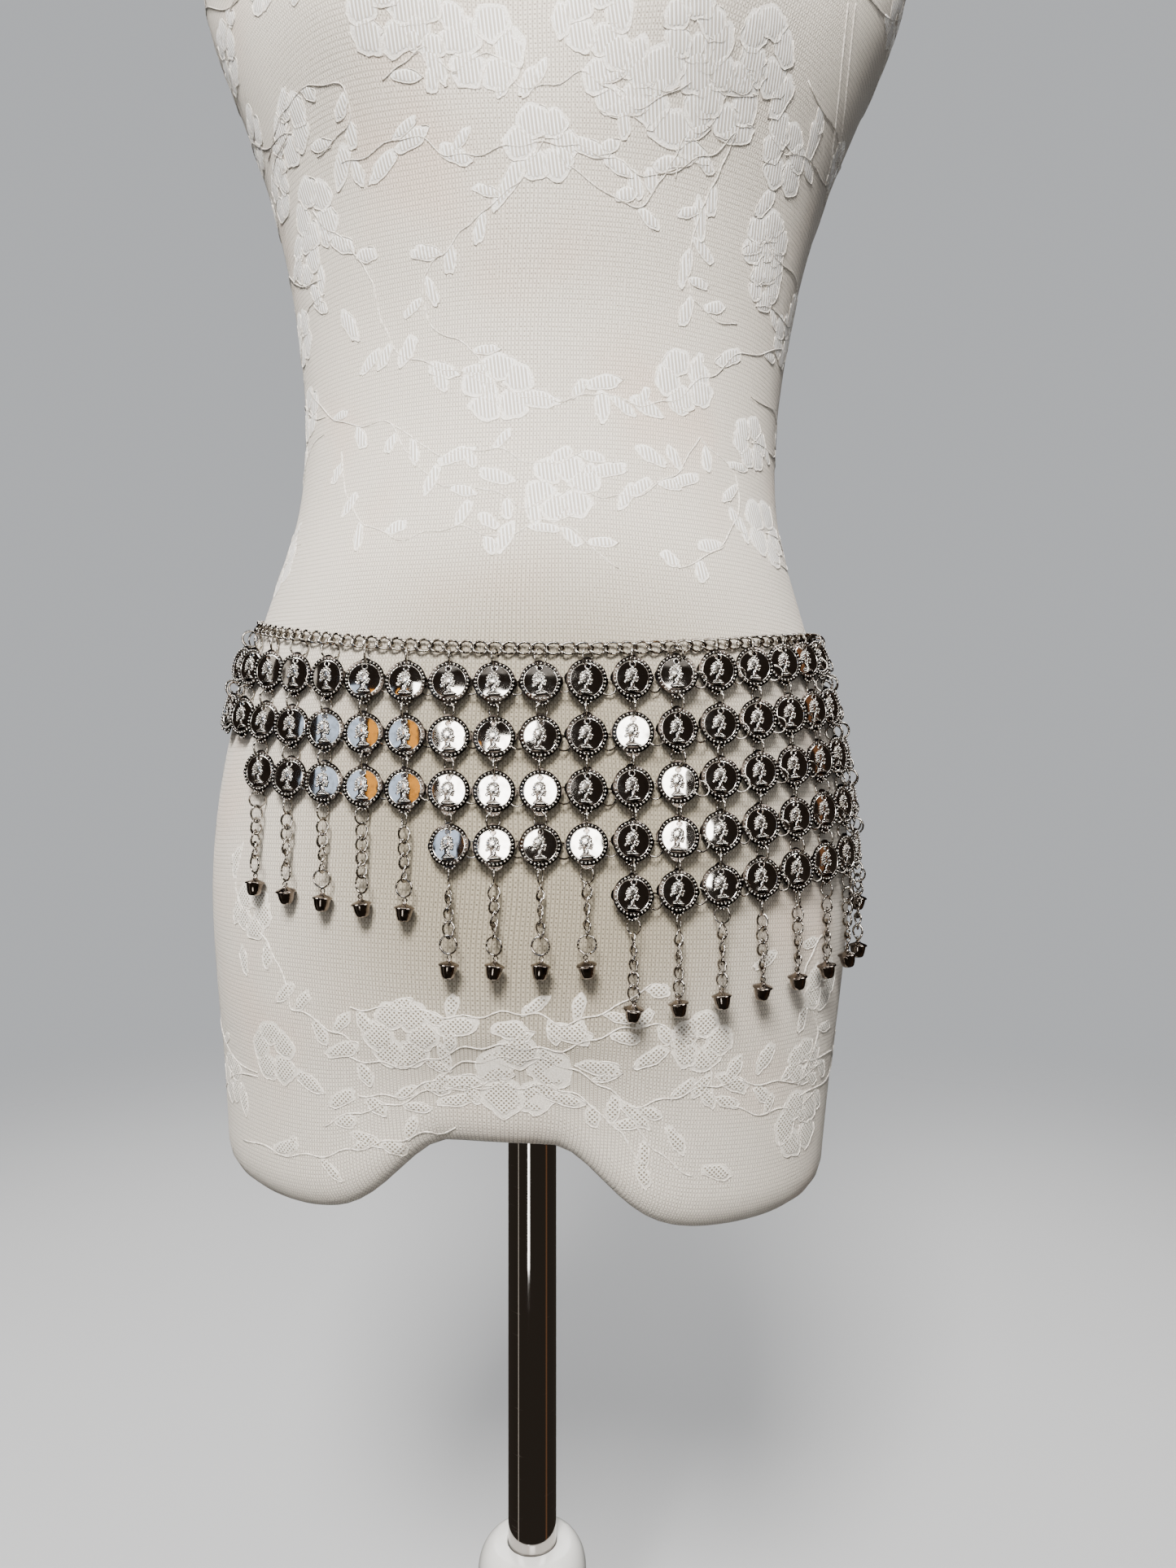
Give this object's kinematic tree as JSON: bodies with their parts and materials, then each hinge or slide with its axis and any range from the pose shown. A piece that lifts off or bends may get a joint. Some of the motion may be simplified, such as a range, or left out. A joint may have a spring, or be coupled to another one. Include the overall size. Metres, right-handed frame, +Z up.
{
  "type": "coin waist chain on a dress form",
  "caption": "Silver coin waist chain with stepped rows of linked coins and bell drops, closed by a clasp round a lace-covered limbless dress form on a pole stand.",
  "frame": {"origin": "centre of the round foot's underside, on the floor", "axes": "+Z up along the pole, -Y towards the form's front, +X to the viewer's right; the form itself is turned 4.6 degrees clockwise seen from above and leans 1.4 degrees to +X, as in the picture"},
  "size_m": [0.3735, 0.3, 1.2263],
  "materials": {
    "form_cloth": "white stretch floral lace over cream jersey",
    "pole_chrome": "chromed steel tube, fine scratches",
    "stand_white": "gloss white paint",
    "plated_chain": "silver-coloured plated alloy, aged in the hollows",
    "plated_coins": "stamped and silver-plated thin alloy, mirror field and beaded rim"
  },
  "bodies": {
    "root": {"dress_form": "form_cloth", "pole": "pole_chrome", "collar": "stand_white", "stand_tube": "stand_white", "foot": "stand_white", "waist_chain": "plated_chain", "lobster_clasp": "plated_chain", "extension_chain": "plated_chain", "coin_column_01": "plated_coins", "coin_column_02": "plated_coins", "coin_column_03": "plated_coins", "coin_column_04": "plated_coins", "coin_column_05": "plated_coins", "coin_column_06": "plated_coins", "coin_column_07": "plated_coins", "coin_column_08": "plated_coins", "coin_column_09": "plated_coins", "coin_column_10": "plated_coins", "coin_column_11": "plated_coins", "coin_column_12": "plated_coins", "coin_column_13": "plated_coins", "coin_column_14": "plated_coins", "coin_column_15": "plated_coins", "coin_column_16": "plated_coins", "coin_column_17": "plated_coins", "coin_column_18": "plated_coins", "coin_column_19": "plated_coins", "coin_column_20": "plated_coins", "coin_column_21": "plated_coins", "coin_column_22": "plated_coins", "coin_column_23": "plated_coins", "coin_column_24": "plated_coins", "coin_column_25": "plated_coins", "coin_column_26": "plated_coins", "coin_column_27": "plated_coins", "coin_column_28": "plated_coins", "coin_column_29": "plated_coins", "coin_column_30": "plated_coins", "coin_column_31": "plated_coins", "coin_column_32": "plated_coins", "coin_column_33": "plated_coins", "coin_column_34": "plated_coins", "coin_column_35": "plated_coins", "coin_column_36": "plated_coins"}
  },
  "joints": []
}
